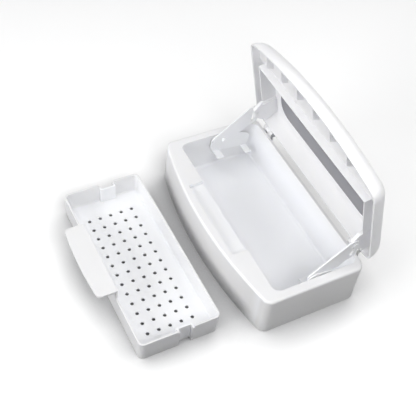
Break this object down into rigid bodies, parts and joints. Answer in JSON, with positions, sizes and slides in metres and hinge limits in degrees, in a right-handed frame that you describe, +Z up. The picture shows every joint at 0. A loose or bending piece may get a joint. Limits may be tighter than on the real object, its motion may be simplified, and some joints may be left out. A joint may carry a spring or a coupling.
{
  "type": "salon tool disinfection box",
  "caption": "White plastic salon tool disinfection box: basin with a hinged windowed lid, lid-driven arms that lift tray carriers, and a loose perforated tray with a flat handle.",
  "frame": {"origin": "centre of the tub's underside, where it rests on the table", "axes": "+X along the box, +Y from the curved front towards the hinges, +Z up"},
  "size_m": [0.24, 0.2859, 0.1917],
  "materials": {
    "tub_plastic": "white moulded ABS, soft gloss",
    "lid_plastic": "white moulded ABS, soft gloss",
    "tray_plastic": "white moulded ABS, soft gloss",
    "link_plastic": "white moulded plastic, satin",
    "smoky_window": "smoky translucent acrylic, polished",
    "pin_steel": "plain wire"
  },
  "bodies": {
    "tub": {"base_tub": "tub_plastic", "left_hinge_pin": "pin_steel", "right_hinge_pin": "pin_steel"},
    "lid": {"lid_shell": "lid_plastic", "lid_window": "smoky_window"},
    "left_link_pin": {"left_arm_pin": "link_plastic"},
    "right_link_pin": {"right_arm_pin": "link_plastic"},
    "left_arm": {"left_lift_arm": "link_plastic", "left_carrier_pin": "link_plastic"},
    "right_arm": {"right_lift_arm": "link_plastic", "right_carrier_pin": "link_plastic"},
    "left_carrier": {"left_tray_carrier": "link_plastic"},
    "right_carrier": {"right_tray_carrier": "link_plastic"},
    "tray": {"perforated_tray": "tray_plastic"}
  },
  "joints": [
    {"name": "lid_hinge", "type": "hinge", "parent": "tub", "child": "lid", "pos_m": [0, 0.0705, 0.054], "axis": [1, 0, 0], "range_deg": [0, 76.8]},
    {"name": "left_pin_turn", "type": "hinge", "parent": "lid", "child": "left_link_pin", "pos_m": [-0.1, 0.0543, 0.0785], "axis": [1, 0, 0], "range_deg": [-80, 1]},
    {"name": "right_pin_turn", "type": "hinge", "parent": "lid", "child": "right_link_pin", "pos_m": [0.1, 0.0543, 0.0785], "axis": [1, 0, 0], "range_deg": [-80, 1]},
    {"name": "left_slot_slide", "type": "slide", "parent": "left_link_pin", "child": "left_arm", "axis": [0, 0.1702, 0.9854], "range_m": [0, 0.0131]},
    {"name": "right_slot_slide", "type": "slide", "parent": "right_link_pin", "child": "right_arm", "axis": [0, 0.1702, 0.9854], "range_m": [0, 0.0131]},
    {"name": "left_carrier_swing", "type": "hinge", "parent": "left_arm", "child": "left_carrier", "pos_m": [-0.107, 0.0165, 0.046], "axis": [1, 0, 0], "range_deg": [-1, 11]},
    {"name": "right_carrier_swing", "type": "hinge", "parent": "right_arm", "child": "right_carrier", "pos_m": [0.107, 0.0165, 0.046], "axis": [1, 0, 0], "range_deg": [-1, 11]},
    {"name": "tray_lift", "type": "slide", "parent": "tub", "child": "tray", "axis": [0, 0, 1], "range_m": [0, 0.12]}
  ],
  "couplings": [
    {"joint": "left_pin_turn", "follows": "lid_hinge", "ratio": -1.0391},
    {"joint": "right_pin_turn", "follows": "lid_hinge", "ratio": -1.0391},
    {"joint": "left_slot_slide", "follows": "lid_hinge", "m_per_rad": 0.0097},
    {"joint": "right_slot_slide", "follows": "lid_hinge", "m_per_rad": 0.0097},
    {"joint": "left_carrier_swing", "follows": "lid_hinge", "ratio": 0.1302},
    {"joint": "right_carrier_swing", "follows": "lid_hinge", "ratio": 0.1302}
  ]
}
